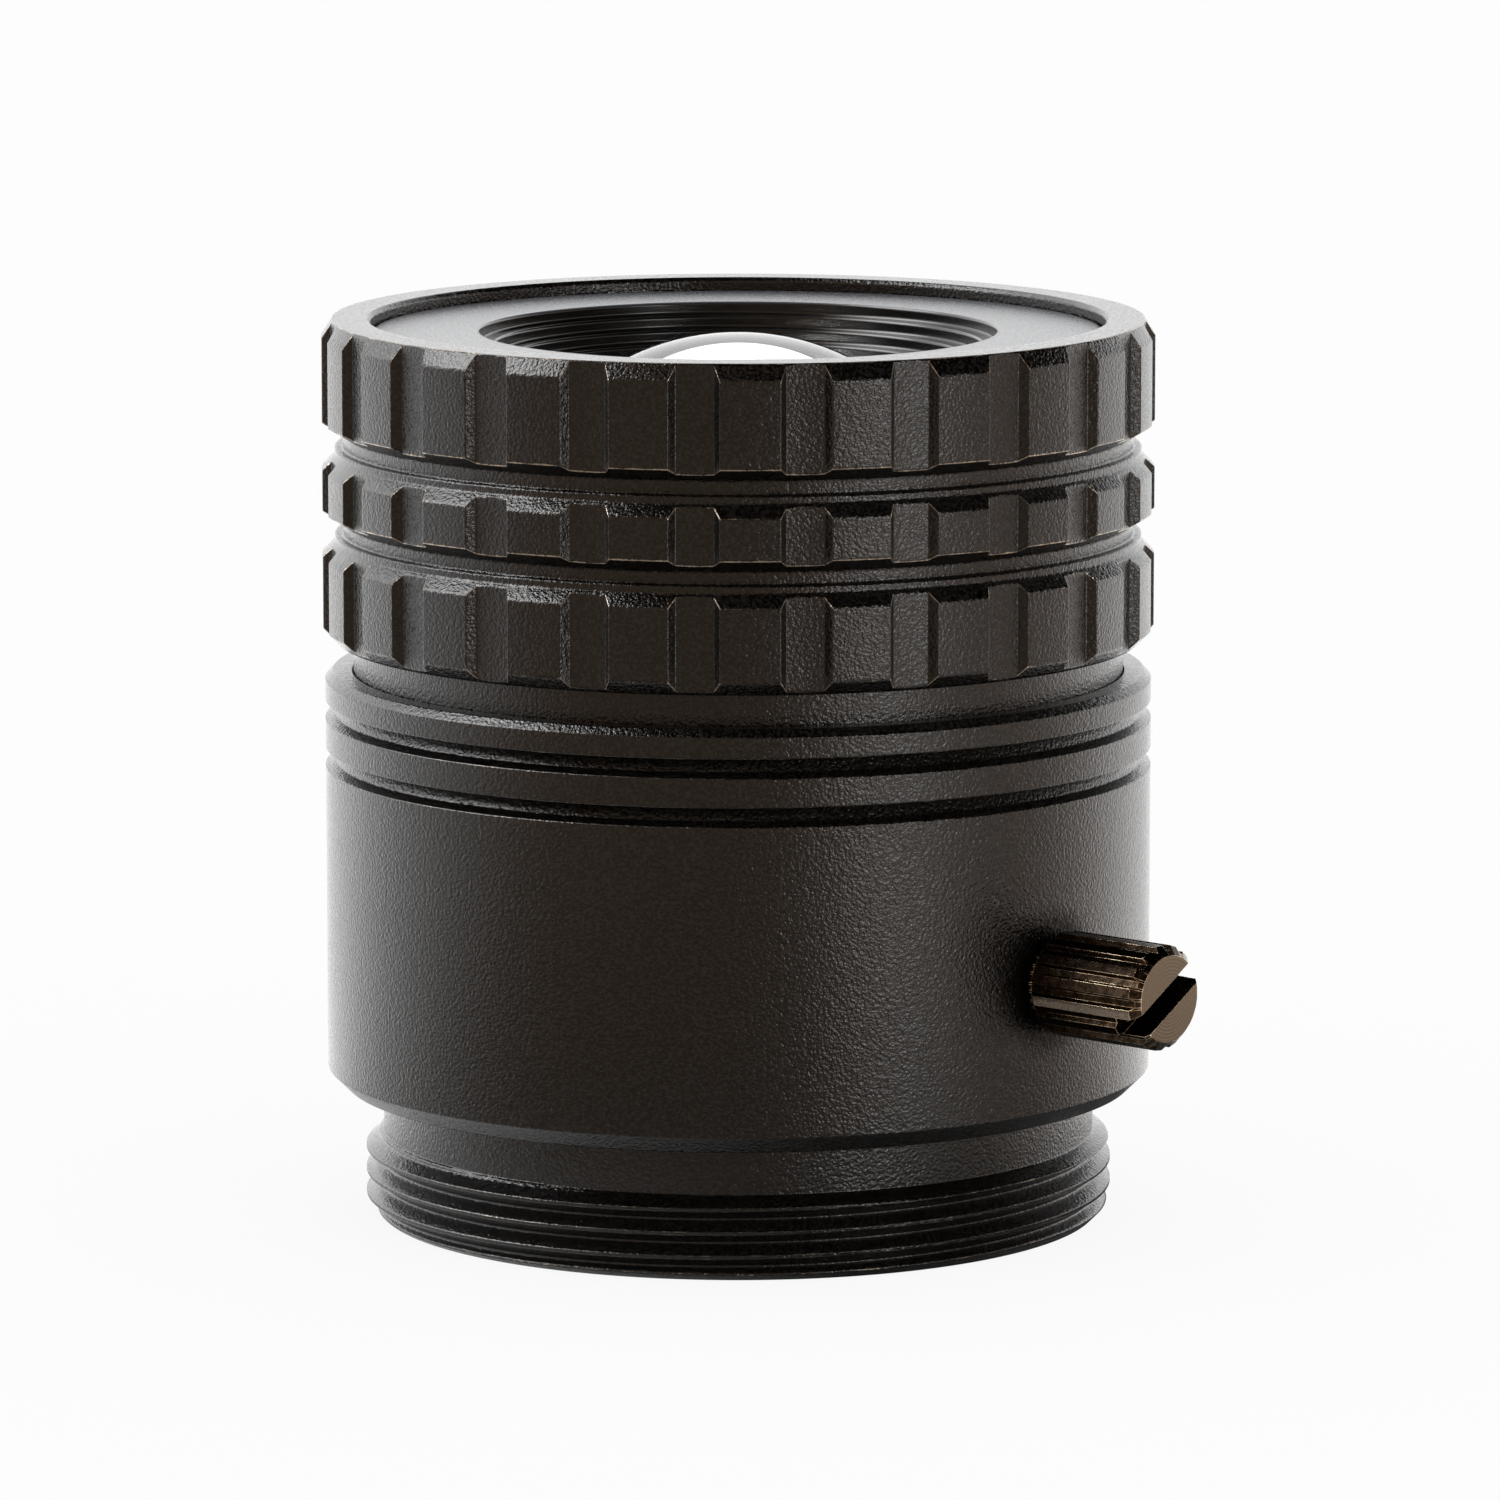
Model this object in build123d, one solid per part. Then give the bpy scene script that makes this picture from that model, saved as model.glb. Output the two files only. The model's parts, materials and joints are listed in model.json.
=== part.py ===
from build123d import *
import os
from math import cos, degrees, radians, sin, sqrt

# A manual-focus CS-mount lens standing on its rear end.
# Millimetres. Z is the optical axis, pointing out of the front, and z = 0 is the mount thread's rear end.
# The photograph's side is -Y. Angles go round Z from +X.

# Clearances shared by several pieces
running_gap = 0.05
thread_gap = 0.02
press_gap = 0.01
glass_gap = 0.02
end_gap = 0.15

# Mount end of the housing: one inch by 32 thread, relief neck and flange seat
mount_thread_radius = 12.70
mount_thread_end = 2.52
thread_lead_chamfer = 0.45
relief_depth = 0.60
relief_runout_slope = 0.5
seat_height = 4.52
seat_width = 1.30
seat_corner_clear = 0.05
seat_corner_depth = 0.12
rear_bore_wall = 1.20
rear_bore_depth = 3.40
relief_radius = mount_thread_radius - relief_depth
rear_bore_radius = relief_radius - rear_bore_wall

# Housing barrel
body_height = 14.08
body_foot_chamfer = 0.56
body_lip_chamfer = 0.25
lip_wall = 0.91
groove_count = 2
first_groove_below_top = 0.95
groove_pitch = 1.61
groove_gap = 0.42
groove_depth = 0.40
land_chamfer = 0.23
web_thickness = 1.95
body_radius = mount_thread_radius + seat_width
body_top = seat_height + body_height
web_top = rear_bore_depth + web_thickness

# Focus travel: one lead of the helicoid moves the optics this far in a whole turn
helicoid_lead = 4.00
turn_to_close = 90.0
turn_to_open = 45.0
travel_down = helicoid_lead * turn_to_close / 360
travel_up = helicoid_lead * turn_to_open / 360

# Focus ring: three bands of facets cut through by flutes, with a groove between the bands
facet_count = 24
facet_phase = -88.3
facet_overhang = 0.07
facet_share = 0.535
flute_depth = 0.29
flute_floor_share = 0.36
flute_hollow_depth = 0.05
ring_gap = 1.09
first_bevel_height = 0.45
facet_heights = (2.45, 1.40, 2.88)
band_groove_widths = (0.44, 0.48)
band_groove_depth = 0.72
upper_bevel = 0.44
shoulder_height = 0.24
lower_bevel_height = 0.42
rim_bevel_width = 0.35
rim_bevel_height = 0.56
rim_inner_chamfer = 0.12
ring_wall = 1.67
ring_web = 0.31
neck_overlap = 0.86
helicoid_step = 0.44
skirt_step = 0.25
skirt_wall = 0.80
facet_radius = body_radius + facet_overhang
flute_radius = facet_radius - flute_depth
band_groove_radius = facet_radius - band_groove_depth
rim_radius = facet_radius - rim_bevel_width
ring_bore_radius = facet_radius - ring_wall
neck_bore_radius = body_radius - lip_wall
neck_radius = neck_bore_radius - running_gap
helicoid_radius = neck_radius - helicoid_step
skirt_radius = helicoid_radius - skirt_step
ring_inner_radius = skirt_radius - skirt_wall
helicoid_bore_radius = helicoid_radius + running_gap
lower_bore_radius = skirt_radius + 2 * running_gap
ring_bottom = body_top + ring_gap
ring_step = ring_bottom + ring_web
neck_bottom = body_top - neck_overlap
neck_bore_bottom = neck_bottom - travel_down - end_gap

# Lens carrier: slides without turning inside the focus ring
carrier_wall = 0.90
carrier_above_web = 0.25
carrier_foot_height = 5.40
carrier_flange_gap = 0.10
carrier_flange_height = 0.75
retainer_thickness = 1.10
retainer_thread_depth = 0.50
retainer_overhang = 0.05
carrier_end_below_retainer = 0.05
carrier_radius = ring_inner_radius - running_gap
flange_radius = ring_bore_radius - carrier_flange_gap
carrier_bore_radius = flange_radius - carrier_wall
retainer_thread_radius = carrier_radius - retainer_thread_depth
carrier_end = web_top + travel_down + carrier_above_web
carrier_foot_top = carrier_end + carrier_foot_height
retainer_bottom = carrier_end + carrier_end_below_retainer
retainer_top = retainer_bottom + retainer_thickness
skirt_bottom = retainer_top + running_gap

# Slip washer under the carrier's flange
washer_thickness = 0.15
washer_edge_gap = 0.18
washer_gap = 0.02
flange_bottom = ring_step + washer_thickness + washer_gap

# Guide pins that keep the carrier from turning
guide_pin_radius = 0.60
guide_pin_chamfer = 0.12
guide_pin_inset = 1.60
guide_pin_angles = (60.0, 240.0)
guide_pin_depth = 1.45
guide_pin_top_gap = 0.20
guide_hole_depth = 4.80
guide_gap = 0.03
guide_pin_circle = carrier_radius - guide_pin_inset

# Stop pin that limits the turn of the focus ring
stop_pin_radius = 0.40
stop_pin_angle = 137.0
stop_pin_above_skirt_end = 0.45
stop_pin_depth = 0.70
stop_notch_margin = 0.10
stop_pin_height = skirt_bottom + stop_pin_above_skirt_end
stop_pin_start = carrier_radius - stop_pin_depth

# Lens cell: the tube that holds the glass. The glass takes its share of the carrier, with walls round it.
glass_share = 0.5652
front_bore_share = 0.7723
rear_bore_share = 0.6954
stop_web_share = 0.8407
front_ring_ledge = 0.60
front_ring_wall = 0.78
front_ring_seat_gap = 0.50
cell_front_step = 0.30
cell_collar_width = 0.70
cell_collar_height = 0.80
cell_tail_step = 0.60
cell_rear_lip = 0.20
stop_web_thickness = 0.70
tail_gap = 1.00
tail_clear = 0.40
front_element_radius = glass_share * carrier_radius
front_pocket_radius = front_element_radius + glass_gap
ring_pocket_radius = front_pocket_radius + front_ring_ledge
cell_front_radius = ring_pocket_radius + front_ring_wall
cell_thread_radius = cell_front_radius + cell_front_step
cell_collar_radius = cell_thread_radius + cell_collar_width
cell_tail_radius = cell_thread_radius - cell_tail_step
web_opening_radius = cell_tail_radius + tail_gap
front_glass_bore = front_bore_share * front_element_radius
rear_glass_bore = rear_bore_share * front_element_radius
stop_web_radius = stop_web_share * rear_glass_bore
cell_rear = travel_down + tail_clear

# Name ring with the stepped light trap, screwed into the carrier's front
name_ring_recess = 0.45
name_ring_flange = 0.80
trap_clear = 0.01
trap_steps = 5
trap_step_width = 0.56
trap_above_cell = 0.093
trap_mouth_radius = front_element_radius + trap_clear + (trap_steps - 1) * trap_step_width

# Front element, a strong dome, and the ring that holds it.
# A curve ratio is a surface's radius of curvature over the clear radius that the surface spans.
dome_curve_ratio = 1.37
dome_below_face = 0.10
dome_above_shoulder = 4.00
front_hollow_curve_ratio = 1.244
front_hollow_margin = 0.52
front_ring_overlap = 0.30
front_ring_thickness = 0.41
dome_radius = dome_curve_ratio * front_element_radius
front_ring_inner_radius = front_element_radius - front_ring_overlap
front_ring_outer_radius = ring_pocket_radius - thread_gap

# Glass and spacers between the front element and the stop
front_spacer_length = 1.40
second_element_thickness = 2.80
second_front_curve_ratio = 3.57
second_rear_curve_ratio = 1.667
middle_spacer_length = 1.20
third_element_thickness = 2.00
third_front_curve_ratio = 2.143
third_rear_curve_ratio = 2.857
stop_spacer_length = 1.70
aperture_thickness = 0.20
aperture_land = 1.40
front_spacer_wall = 0.60
front_clear_margin = 0.20
aperture_radius = stop_web_radius - aperture_land
front_glass_radius = front_glass_bore - glass_gap
front_clear = front_glass_radius - front_spacer_wall - front_clear_margin

# Glass and spacers behind the stop. The long rear spacer takes up what length is left.
doublet_front_thickness = 1.80
doublet_front_curve_ratio = 3.78
cement_curve_ratio = 1.378
doublet_rear_thickness = 3.00
doublet_rear_curve_ratio = 5.13
sixth_element_thickness = 2.20
sixth_front_curve_ratio = 2.82
sixth_rear_curve_ratio = 4.10
rear_thin_spacer_length = 0.80
rear_element_thickness = 1.60
rear_element_front_curve_ratio = 4.62
rear_element_rear_curve_ratio = 2.44
rear_ring_thickness = 1.20
rear_spacer_wall = 0.50
rear_clear_margin = 0.10
rear_glass_radius = rear_glass_bore - glass_gap
rear_clear = rear_glass_radius - rear_spacer_wall - rear_clear_margin
doublet_front_clear = stop_web_radius - rear_clear_margin

# Lock screw and its nylon pad
lock_angle = -42.0
lock_shank_radius = 1.00
lock_hole_gap = 0.03
lock_collar_radius = 1.45
lock_collar_gap = 0.12
lock_collar_length = 0.20
lock_head_radius = 1.75
lock_head_length = 4.70
lock_head_bevel = 0.31
lock_rib_count = 15
lock_rib_depth = 0.16
lock_rib_share = 0.44
lock_rib_flank = 0.12
lock_slot_width = 0.82
lock_slot_depth = 1.05
lock_slot_turn = 31.0
lock_pad_gap = 0.03
lock_pad_length = 0.62
lock_pad_radius = 0.95
lock_pad_above_skirt_end = 0.26
lock_nose_radius = 0.35
lock_nose_length = 0.32
lock_clear = 0.65
lock_height = skirt_bottom + travel_up + lock_pad_above_skirt_end + lock_pad_radius
lock_pad_start = skirt_radius + lock_pad_gap
lock_tip = lock_pad_start + lock_pad_length + press_gap
lock_collar_start = body_radius + lock_collar_gap
lock_head_start = lock_collar_start + lock_collar_length
helicoid_bore_bottom = lock_height + lock_pad_radius + lock_clear
helicoid_bottom = helicoid_bore_bottom + end_gap + travel_down

# Heights of the knurled bands, from the ring's bottom up: each is a pair, the facets' bottom and top
band_facets = []
facet_bottom = ring_bottom + first_bevel_height
for facet_height, groove_width in zip(facet_heights, (*band_groove_widths, 0)):
    band_facets.append((facet_bottom, facet_bottom + facet_height))
    facet_bottom += facet_height + upper_bevel + shoulder_height + groove_width + lower_bevel_height
ring_top = band_facets[-1][1] + rim_bevel_height
name_face = ring_top - name_ring_recess
carrier_top = name_face - name_ring_flange


def sag(curve, radius):
    """How far a sphere of radius curve falls away at this distance from its apex."""
    return curve - sqrt(curve**2 - radius**2)


# Heights of the glass: the dome sets its ring, the cell's front and the light trap's bottom.
# The front stack hangs from the front shoulder and the rear stack from the stop's web.
dome_apex = name_face - dome_below_face
front_ring_bottom = dome_apex - sag(dome_radius, front_ring_inner_radius) + press_gap
cell_front = front_ring_bottom + front_ring_thickness
trap_bottom = cell_front + trap_above_cell
trap_step_depth = (name_face - trap_bottom) / trap_steps
front_shoulder = dome_apex - dome_above_shoulder
front_spacer_bottom = front_shoulder - front_spacer_length
second_bottom = front_spacer_bottom - second_element_thickness
middle_spacer_bottom = second_bottom - middle_spacer_length
third_bottom = middle_spacer_bottom - third_element_thickness
aperture_top = third_bottom - stop_spacer_length
stop_seat = aperture_top - aperture_thickness
rear_seat = stop_seat - stop_web_thickness
cement_edge = rear_seat - doublet_front_thickness
doublet_bottom = cement_edge - doublet_rear_thickness
rear_ring_bottom = cell_rear + cell_rear_lip
rear_element_bottom = rear_ring_bottom + rear_ring_thickness
thin_spacer_bottom = rear_element_bottom + rear_element_thickness
sixth_bottom = thin_spacer_bottom + rear_thin_spacer_length
rear_spacer_bottom = sixth_bottom + sixth_element_thickness


def turned(points):
    """A solid of revolution round Z from its half section, given as (radius, height) points."""
    return revolve(make_face(Plane.XZ * Polyline(*points, close=True)), Axis.Z)


def tube(outer, inner, bottom, top):
    """A plain turned ring."""
    return turned([(inner, bottom), (outer, bottom), (outer, top), (inner, top)])


def polar(radius, angle):
    """The point at this radius and angle, seen along Z."""
    return (radius * cos(radians(angle)), radius * sin(radians(angle)))


def radial_plane(angle, distance, height):
    """A plane that faces away from the axis at this angle, with its X direction level."""
    out = Vector(*polar(1, angle), 0)
    level = Vector(*polar(1, angle + 90), 0)
    return Plane(origin=out * distance + Vector(0, 0, height), x_dir=level, z_dir=out)


def radial_rod(angle, height, radius, start, length):
    """A round rod along a radius of the lens, from start outward."""
    return extrude(radial_plane(angle, start, height) * Circle(radius), length)


def guide_place(angle, height):
    """The place of a guide pin at this angle and height."""
    return Pos(*polar(guide_pin_circle, angle), height)


def mount_housing():
    """One turned piece: mount thread, relief neck, flange seat, grooved barrel and the inner web."""
    seat_inner = mount_thread_radius + seat_corner_clear
    seat_corner = seat_height + seat_corner_depth
    groove_floor = body_radius - groove_depth
    outside = [
        (rear_bore_radius, 0),
        (mount_thread_radius - thread_lead_chamfer, 0),
        (mount_thread_radius, thread_lead_chamfer),
        (mount_thread_radius, mount_thread_end),
        (relief_radius, mount_thread_end + relief_runout_slope * relief_depth),
        (relief_radius, seat_corner),
        (seat_inner, seat_corner),
        (seat_inner, seat_height),
        (body_radius - body_foot_chamfer, seat_height),
        (body_radius, seat_height + body_foot_chamfer),
    ]
    for i in reversed(range(groove_count)):
        groove_top = body_top - first_groove_below_top - i * groove_pitch
        groove_bottom = groove_top - groove_gap
        outside += [
            (body_radius, groove_bottom - land_chamfer),
            (body_radius - land_chamfer, groove_bottom),
            (groove_floor, groove_bottom),
            (groove_floor, groove_top),
            (body_radius, groove_top),
        ]
    outside += [(body_radius, body_top - body_lip_chamfer), (body_radius - body_lip_chamfer, body_top)]
    inside = [
        (neck_bore_radius, body_top),
        (neck_bore_radius, neck_bore_bottom),
        (helicoid_bore_radius, neck_bore_bottom),
        (helicoid_bore_radius, helicoid_bore_bottom),
        (lower_bore_radius, helicoid_bore_bottom),
        (lower_bore_radius, web_top),
        (web_opening_radius, web_top),
        (web_opening_radius, rear_bore_depth),
        (rear_bore_radius, rear_bore_depth),
    ]
    housing = turned(outside + inside)
    hole = lock_shank_radius + lock_hole_gap
    housing -= radial_rod(lock_angle, lock_height, hole, relief_radius, body_radius)
    for angle in guide_pin_angles:
        housing -= guide_place(angle, web_top) * Cylinder(guide_pin_radius + press_gap, 2 * guide_pin_depth)
    return housing


def guide_pin(angle):
    """A ground pin pressed into the housing's web, on which the carrier slides."""
    bottom = web_top - guide_pin_depth
    top = carrier_end + guide_hole_depth - travel_down - guide_pin_top_gap
    pin = Cylinder(guide_pin_radius, top - bottom, align=(Align.CENTER, Align.CENTER, Align.MIN))
    pin = chamfer(pin.edges().group_by(Axis.Z)[-1], guide_pin_chamfer)
    return guide_place(angle, bottom) * pin


def tooth_outline():
    """The outline of the knurling seen along Z: facets, sloping flute walls and hollow flute floors."""
    step = 360 / facet_count
    facet_half = facet_share * step / 2
    floor_half = flute_floor_share * step / 2
    facet_corner_radius = facet_radius / cos(radians(facet_half))
    edges = []
    for i in range(facet_count):
        middle = facet_phase + i * step
        flute = middle + step / 2
        facet_start = polar(facet_corner_radius, middle - facet_half)
        facet_end = polar(facet_corner_radius, middle + facet_half)
        floor_start = polar(flute_radius, flute - floor_half)
        floor_middle = polar(flute_radius - flute_hollow_depth, flute)
        floor_end = polar(flute_radius, flute + floor_half)
        next_facet = polar(facet_corner_radius, middle + step - facet_half)
        edges.append(Line(facet_start, facet_end))
        edges.append(Line(facet_end, floor_start))
        edges.append(ThreePointArc(floor_start, floor_middle, floor_end))
        edges.append(Line(floor_end, next_facet))
    return make_face(edges)


def ring_bands():
    """The outside half section of the focus ring, from its bottom edge up to the rim."""
    bevel_radius = facet_radius - upper_bevel
    points = [(facet_radius - first_bevel_height, ring_bottom)]
    for band, (facet_bottom, facet_top) in enumerate(band_facets):
        if band > 0:
            points += [(band_groove_radius, facet_bottom - lower_bevel_height)]
        points += [(facet_radius, facet_bottom), (facet_radius, facet_top)]
        if band < len(band_facets) - 1:
            bevel_top = facet_top + upper_bevel
            shoulder_top = bevel_top + shoulder_height
            points += [(bevel_radius, bevel_top), (bevel_radius, shoulder_top)]
            points += [(band_groove_radius, shoulder_top)]
    return points + [(rim_radius, ring_top)]


def stop_notch():
    """The slot in the skirt's end in which the stop pin runs: its two ends limit the turn."""
    reach = degrees((stop_pin_radius + stop_notch_margin) / skirt_radius)
    start = stop_pin_angle - turn_to_open - reach
    span = turn_to_close + turn_to_open + 2 * reach
    height = stop_pin_above_skirt_end + stop_pin_radius + stop_notch_margin
    section = Pos(carrier_radius, skirt_bottom - end_gap) * Rectangle(
        2 * (skirt_radius - carrier_radius), height + end_gap, align=(Align.CENTER, Align.MIN)
    )
    return Rot(Z=start) * revolve(Plane.XZ * section, Axis.Z, span)


def focus_ring():
    """One turned and milled piece: knurled bands, neck, helicoid and the skirt that the lock screw grips."""
    bore = [
        (ring_bore_radius + rim_inner_chamfer, ring_top),
        (ring_bore_radius, ring_top - rim_inner_chamfer),
        (ring_bore_radius, ring_step),
        (ring_inner_radius, ring_step),
    ]
    knurled = turned([(ring_inner_radius, ring_bottom)] + ring_bands() + bore)
    knurled &= Pos(Z=ring_bottom) * extrude(tooth_outline(), ring_top - ring_bottom)
    skirt = turned(
        [
            (ring_inner_radius, skirt_bottom),
            (skirt_radius, skirt_bottom),
            (skirt_radius, helicoid_bottom),
            (helicoid_radius, helicoid_bottom),
            (helicoid_radius, neck_bottom),
            (neck_radius, neck_bottom),
            (neck_radius, ring_bottom),
            (ring_inner_radius, ring_bottom),
        ]
    )
    return knurled + skirt - stop_notch()


def slip_washer():
    """A thin low-friction washer between the focus ring's step and the carrier's flange."""
    inner = carrier_radius + 2 * running_gap
    return tube(ring_bore_radius - washer_edge_gap, inner, ring_step, ring_step + washer_thickness)


def lens_carrier():
    """A turned sleeve that carries the lens cell and the name ring and slides on the guide pins."""
    foot_bore = cell_thread_radius + thread_gap
    upper_bore = carrier_radius - carrier_wall
    thread_top = retainer_top - retainer_overhang
    carrier = turned(
        [
            (foot_bore, carrier_end),
            (retainer_thread_radius, carrier_end),
            (retainer_thread_radius, thread_top),
            (carrier_radius, thread_top),
            (carrier_radius, flange_bottom),
            (flange_radius, flange_bottom),
            (flange_radius, carrier_top),
            (carrier_bore_radius, carrier_top),
            (carrier_bore_radius, flange_bottom + carrier_flange_height),
            (upper_bore, flange_bottom + carrier_flange_height),
            (upper_bore, carrier_foot_top),
            (foot_bore, carrier_foot_top),
        ]
    )
    guide_hole = guide_pin_radius + guide_gap
    for angle in guide_pin_angles:
        carrier -= guide_place(angle, carrier_end) * Cylinder(guide_hole, 2 * guide_hole_depth)
    stop_hole = stop_pin_radius + press_gap
    return carrier - radial_rod(stop_pin_angle, stop_pin_height, stop_hole, stop_pin_start, carrier_radius)


def ring_retainer():
    """The threaded ring under the skirt that keeps the focus ring on the carrier."""
    thread = retainer_thread_radius + thread_gap
    outer = skirt_radius - running_gap
    shoulder = retainer_top - 2 * retainer_overhang
    return turned(
        [
            (thread, retainer_bottom),
            (outer, retainer_bottom),
            (outer, retainer_top),
            (carrier_radius + retainer_overhang, retainer_top),
            (carrier_radius + retainer_overhang, shoulder),
            (thread, shoulder),
        ]
    )


def stop_pin():
    """A small pin pressed into the carrier's side; its end stands in the skirt's notch."""
    length = skirt_radius - running_gap - stop_pin_start
    return radial_rod(stop_pin_angle, stop_pin_height, stop_pin_radius, stop_pin_start, length)


def name_ring():
    """The front ring: flat face, threaded spigot and the stepped trap that kills stray light."""
    spigot = carrier_bore_radius - thread_gap
    outside = [
        (spigot, trap_bottom),
        (spigot, carrier_top),
        (flange_radius, carrier_top),
        (flange_radius, name_face),
    ]
    steps = []
    for i in range(trap_steps):
        radius = trap_mouth_radius - i * trap_step_width
        tread = name_face - i * trap_step_depth
        steps += [(radius, tread), (radius, tread - trap_step_depth)]
    return turned(outside + steps)


def lens_cell():
    """The blackened tube with the stepped bores that the glass and spacers are loaded into."""
    thread_bottom = carrier_end - end_gap
    collar_top = carrier_foot_top + cell_collar_height
    ring_seat = front_ring_bottom - front_ring_seat_gap
    return turned(
        [
            (rear_glass_bore, cell_rear),
            (cell_tail_radius, cell_rear),
            (cell_tail_radius, thread_bottom),
            (cell_thread_radius, thread_bottom),
            (cell_thread_radius, carrier_foot_top),
            (cell_collar_radius, carrier_foot_top),
            (cell_collar_radius, collar_top),
            (cell_front_radius, collar_top),
            (cell_front_radius, cell_front),
            (ring_pocket_radius, cell_front),
            (ring_pocket_radius, ring_seat),
            (front_pocket_radius, ring_seat),
            (front_pocket_radius, front_shoulder),
            (front_glass_bore, front_shoulder),
            (front_glass_bore, stop_seat),
            (stop_web_radius, stop_seat),
            (stop_web_radius, rear_seat),
            (rear_glass_bore, rear_seat),
        ]
    )


def lens_element(radius, front, rear, front_ratio, rear_ratio, front_clear, rear_clear):
    """A ground lens with its edge between the heights rear and front.

    A positive curve ratio bulges outward and a negative one is hollow. Each surface spans its clear radius,
    and a flat ground rim joins it to the edge.
    """

    def surface(ratio, clear, height, outward):
        curve = abs(ratio) * clear
        bulge = outward if ratio > 0 else -outward
        apex = height + bulge * sag(curve, clear)
        return (0, apex), (clear / 2, apex - bulge * sag(curve, clear / 2)), (clear, height)

    front_arc = surface(front_ratio, front_clear, front, 1)
    rear_arc = surface(rear_ratio, rear_clear, rear, -1)
    edges = [ThreePointArc(*front_arc)]
    if front_clear < radius:
        edges.append(Line(front_arc[2], (radius, front)))
    edges.append(Line((radius, front), (radius, rear)))
    if rear_clear < radius:
        edges.append(Line((radius, rear), rear_arc[2]))
    edges.append(ThreePointArc(rear_arc[2], rear_arc[1], rear_arc[0]))
    edges.append(Line(rear_arc[0], front_arc[0]))
    return revolve(Plane.XZ * make_face(edges), Axis.Z)


def front_element():
    """The domed front glass: hollow behind, and clear to its edge in front."""
    edge = dome_apex - sag(dome_radius, front_element_radius)
    hollow = front_glass_bore - front_hollow_margin
    return lens_element(
        front_element_radius,
        edge,
        front_shoulder,
        dome_curve_ratio,
        -front_hollow_curve_ratio,
        front_element_radius,
        hollow,
    )


def front_retaining_ring():
    """The thin threaded ring whose inner edge bears on the dome."""
    return tube(front_ring_outer_radius, front_ring_inner_radius, front_ring_bottom, cell_front)


def front_lens(top, bottom, front_ratio, rear_ratio):
    """A lens in the bore in front of the stop."""
    return lens_element(front_glass_radius, top, bottom, front_ratio, rear_ratio, front_clear, front_clear)


def rear_lens(top, bottom, front_ratio, rear_ratio):
    """A lens in the bore behind the stop."""
    return lens_element(rear_glass_radius, top, bottom, front_ratio, rear_ratio, rear_clear, rear_clear)


def front_spacer(top, bottom):
    """A spacer ring in the bore in front of the stop."""
    return tube(front_glass_radius, front_glass_radius - front_spacer_wall, bottom, top)


def rear_spacer(top, bottom):
    """A spacer ring in the bore behind the stop."""
    return tube(rear_glass_radius, rear_glass_radius - rear_spacer_wall, bottom, top)


def doublet_front():
    """The front half of the cemented pair: the cement surface spans the whole glass."""
    return lens_element(
        rear_glass_radius,
        rear_seat,
        cement_edge,
        doublet_front_curve_ratio,
        cement_curve_ratio,
        doublet_front_clear,
        rear_glass_radius,
    )


def doublet_rear():
    """The rear half of the cemented pair, hollow in front to fit the other half."""
    return lens_element(
        rear_glass_radius,
        cement_edge,
        doublet_bottom,
        -cement_curve_ratio,
        doublet_rear_curve_ratio,
        rear_glass_radius,
        rear_clear,
    )


def lock_rod(radius, start, length):
    """A round rod on the lock screw's axis."""
    return radial_rod(lock_angle, lock_height, radius, start, length)


def lock_head_outline():
    """Straight ribs round the head: a ring of narrow lands with shallow grooves between them."""
    step = 360 / lock_rib_count
    land = lock_rib_share / 2
    root = lock_head_radius - lock_rib_depth
    points = []
    for i in range(lock_rib_count):
        points += [
            polar(lock_head_radius, (i - land) * step),
            polar(lock_head_radius, (i + land) * step),
            polar(root, (i + land + lock_rib_flank) * step),
            polar(root, (i + 1 - land - lock_rib_flank) * step),
        ]
    return make_face(Polyline(*points, close=True))


def lock_screw():
    """A turned brass screw: nose, shank, collar and a long ribbed head with a driver slot."""
    nose = lock_rod(lock_nose_radius, lock_tip - lock_nose_length, lock_nose_length)
    shank = lock_rod(lock_shank_radius, lock_tip, lock_collar_start - lock_tip)
    collar = lock_rod(lock_collar_radius, lock_collar_start, lock_collar_length)
    head_place = radial_plane(lock_angle, lock_head_start, lock_height)
    head_end = radial_plane(lock_angle, lock_head_start + lock_head_length, lock_height)
    small = lock_head_radius - lock_head_bevel
    blank = turned(
        [
            (0, 0),
            (small, 0),
            (lock_head_radius, lock_head_bevel),
            (lock_head_radius, lock_head_length - lock_head_bevel),
            (small, lock_head_length),
            (0, lock_head_length),
        ]
    )
    head = extrude(head_place * lock_head_outline(), lock_head_length) & (head_place.location * blank)
    slot = Box(3 * lock_head_radius, lock_slot_width, 2 * lock_slot_depth)
    return nose + shank + collar + (head - head_end.location * Rot(Z=lock_slot_turn) * slot)


def lock_pad():
    """A nylon pad on the screw's nose that grips the skirt without marking it."""
    socket = lock_nose_radius + guide_gap
    socket_start = lock_tip - lock_nose_length - thread_gap
    pad = lock_rod(lock_pad_radius, lock_pad_start, lock_pad_length)
    return pad - lock_rod(socket, socket_start, lock_nose_length + lock_pad_length)


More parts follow.
